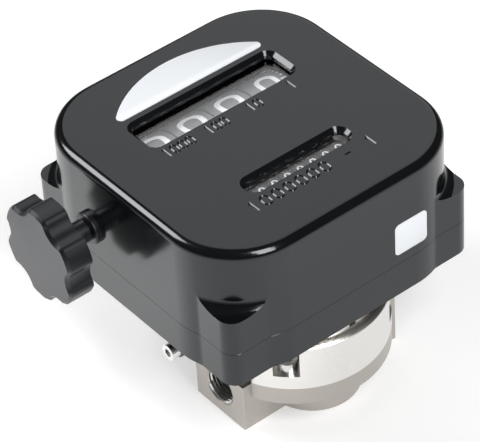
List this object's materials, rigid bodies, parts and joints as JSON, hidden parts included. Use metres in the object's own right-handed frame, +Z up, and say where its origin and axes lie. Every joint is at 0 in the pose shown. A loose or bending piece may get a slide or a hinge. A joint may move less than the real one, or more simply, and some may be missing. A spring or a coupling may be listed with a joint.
{
  "type": "positive displacement flow meter",
  "caption": "Gear-type flow meter: round steel body with threaded side ports under a square register with number wheels behind two windows and a reset knob.",
  "frame": {"origin": "on the meter axis, on the flat base face under the port bar", "axes": "+X along the flow from port to port, -Y the front from which the register is read, +Z up"},
  "size_m": [0.188, 0.157, 0.1386],
  "materials": {
    "body_steel": "blasted",
    "cap_steel": "satin",
    "screw_steel": "polished",
    "housing_black": "semi-gloss",
    "knob_black": "matt",
    "lens": "clear",
    "rotor_steel": "ground",
    "bush_carbon": "matt",
    "seal": "matt",
    "plate": "satin",
    "gear_brass": "satin",
    "gear_white": "matt",
    "wheel_grey": "matt"
  },
  "bodies": {
    "meter": {"meter_body": "body_steel", "rotor_posts": "rotor_steel", "cap_seal": "seal", "meter_cap": "cap_steel", "cap_screws": "screw_steel", "adapter_ring": "cap_steel", "ring_screws": "screw_steel", "clamp_screw": "screw_steel", "register_base": "housing_black", "register_cover": "housing_black", "housing_screws": "screw_steel", "big_window": "lens", "small_window": "lens", "knob_bush": "knob_black", "spindle_bush": "bush_carbon", "gear_plate": "plate", "gear_studs": "rotor_steel", "plate_screws": "screw_steel", "frame_screws": "screw_steel", "frame_right": "plate", "frame_left": "plate", "counter_plate": "plate", "gear_bridge": "plate", "bridge_pillars": "rotor_steel", "idler_stud": "rotor_steel"},
    "rotor_a": {"rotor_a": "rotor_steel", "rotor_bush_a": "bush_carbon", "drive_magnets": "rotor_steel"},
    "rotor_b": {"rotor_b": "rotor_steel", "rotor_bush_b": "bush_carbon"},
    "follower": {"spindle": "rotor_steel", "follower": "gear_white", "follower_magnets": "rotor_steel"},
    "gear_1": {"gear_1": "gear_white"},
    "gear_2": {"gear_2": "gear_white"},
    "gear_3": {"gear_3": "gear_white"},
    "arbor": {"bevel_arbor": "gear_brass"},
    "counter_shaft": {"counter_shaft": "gear_brass", "counter_wheel_7": "wheel_grey"},
    "idler": {"idler_gear": "gear_white"},
    "wheel_units": {"wheel_units": "wheel_grey"},
    "wheel_tens": {"wheel_tens": "wheel_grey"},
    "wheel_hundreds": {"wheel_hundreds": "wheel_grey"},
    "wheel_thousands": {"wheel_thousands": "wheel_grey"},
    "reset": {"reset_knob": "knob_black", "reset_shaft": "screw_steel", "knob_grub": "screw_steel"},
    "counter_1": {"counter_wheel_1": "wheel_grey"},
    "counter_2": {"counter_wheel_2": "wheel_grey"},
    "counter_3": {"counter_wheel_3": "wheel_grey"},
    "counter_4": {"counter_wheel_4": "wheel_grey"},
    "counter_5": {"counter_wheel_5": "wheel_grey"},
    "counter_6": {"counter_wheel_6": "wheel_grey"}
  },
  "joints": [
    {"name": "rotor_a_spin", "type": "hinge", "parent": "meter", "child": "rotor_a", "pos_m": [0, 0.0124, 0.018], "axis": [0, 0, 1], "continuous": true},
    {"name": "rotor_b_spin", "type": "hinge", "parent": "meter", "child": "rotor_b", "pos_m": [0, -0.0124, 0.018], "axis": [0, 0, 1], "continuous": true},
    {"name": "follower_spin", "type": "hinge", "parent": "meter", "child": "follower", "pos_m": [0, 0.0124, 0.07], "axis": [0, 0, 1], "continuous": true},
    {"name": "gear_1_spin", "type": "hinge", "parent": "meter", "child": "gear_1", "pos_m": [0.01048, -0.00919, 0.075], "axis": [0, 0, 1], "continuous": true},
    {"name": "gear_2_spin", "type": "hinge", "parent": "meter", "child": "gear_2", "pos_m": [0.02922, 0.0058, 0.079], "axis": [0, 0, 1], "continuous": true},
    {"name": "gear_3_spin", "type": "hinge", "parent": "meter", "child": "gear_3", "pos_m": [0.05, -0.0062, 0.083], "axis": [0, 0, 1], "continuous": true},
    {"name": "arbor_spin", "type": "hinge", "parent": "meter", "child": "arbor", "pos_m": [0.057, -0.0062, 0.10175], "axis": [1, 0, 0], "continuous": true},
    {"name": "counter_shaft_spin", "type": "hinge", "parent": "meter", "child": "counter_shaft", "pos_m": [0, -0.0062, 0.118], "axis": [1, 0, 0], "continuous": true},
    {"name": "idler_spin", "type": "hinge", "parent": "meter", "child": "idler", "pos_m": [0.0485, 0.02409, 0.10491], "axis": [1, 0, 0], "continuous": true},
    {"name": "units_spin", "type": "hinge", "parent": "meter", "child": "wheel_units", "pos_m": [0.03503, 0.0569, 0.1015], "axis": [1, 0, 0], "continuous": true},
    {"name": "tens_spin", "type": "hinge", "parent": "meter", "child": "wheel_tens", "pos_m": [0.01167, 0.0569, 0.1015], "axis": [1, 0, 0], "continuous": true},
    {"name": "hundreds_spin", "type": "hinge", "parent": "meter", "child": "wheel_hundreds", "pos_m": [-0.01167, 0.0569, 0.1015], "axis": [1, 0, 0], "continuous": true},
    {"name": "thousands_spin", "type": "hinge", "parent": "meter", "child": "wheel_thousands", "pos_m": [-0.03503, 0.0569, 0.1015], "axis": [1, 0, 0], "continuous": true},
    {"name": "counter_6_spin", "type": "hinge", "parent": "meter", "child": "counter_6", "pos_m": [0.0185, -0.0062, 0.118], "axis": [1, 0, 0], "continuous": true},
    {"name": "counter_5_spin", "type": "hinge", "parent": "meter", "child": "counter_5", "pos_m": [0.0106, -0.0062, 0.118], "axis": [1, 0, 0], "continuous": true},
    {"name": "counter_4_spin", "type": "hinge", "parent": "meter", "child": "counter_4", "pos_m": [0.0027, -0.0062, 0.118], "axis": [1, 0, 0], "continuous": true},
    {"name": "counter_3_spin", "type": "hinge", "parent": "meter", "child": "counter_3", "pos_m": [-0.0052, -0.0062, 0.118], "axis": [1, 0, 0], "continuous": true},
    {"name": "counter_2_spin", "type": "hinge", "parent": "meter", "child": "counter_2", "pos_m": [-0.0131, -0.0062, 0.118], "axis": [1, 0, 0], "continuous": true},
    {"name": "counter_1_spin", "type": "hinge", "parent": "meter", "child": "counter_1", "pos_m": [-0.021, -0.0062, 0.118], "axis": [1, 0, 0], "continuous": true},
    {"name": "reset_turn", "type": "hinge", "parent": "meter", "child": "reset", "pos_m": [-0.1, 0.0569, 0.1015], "axis": [-1, 0, 0], "range_deg": [0, 360]}
  ],
  "couplings": [
    {"joint": "rotor_b_spin", "follows": "rotor_a_spin", "ratio": -1},
    {"joint": "follower_spin", "follows": "rotor_a_spin", "ratio": 1},
    {"joint": "gear_1_spin", "follows": "rotor_a_spin", "ratio": -0.2},
    {"joint": "gear_2_spin", "follows": "rotor_a_spin", "ratio": 0.04},
    {"joint": "gear_3_spin", "follows": "rotor_a_spin", "ratio": -0.008},
    {"joint": "arbor_spin", "follows": "rotor_a_spin", "ratio": -0.004},
    {"joint": "counter_shaft_spin", "follows": "rotor_a_spin", "ratio": 0.001},
    {"joint": "idler_spin", "follows": "rotor_a_spin", "ratio": -0.00066667},
    {"joint": "units_spin", "follows": "rotor_a_spin", "ratio": 0.001},
    {"joint": "tens_spin", "follows": "rotor_a_spin", "ratio": 0.0001},
    {"joint": "hundreds_spin", "follows": "rotor_a_spin", "ratio": 0.00001},
    {"joint": "thousands_spin", "follows": "rotor_a_spin", "ratio": 0.000001},
    {"joint": "counter_6_spin", "follows": "rotor_a_spin", "ratio": 0.0001},
    {"joint": "counter_5_spin", "follows": "rotor_a_spin", "ratio": 0.00001},
    {"joint": "counter_4_spin", "follows": "rotor_a_spin", "ratio": 0.000001},
    {"joint": "counter_3_spin", "follows": "rotor_a_spin", "ratio": 0.0000001},
    {"joint": "counter_2_spin", "follows": "rotor_a_spin", "ratio": 0.00000001},
    {"joint": "counter_1_spin", "follows": "rotor_a_spin", "ratio": 0.000000001}
  ]
}
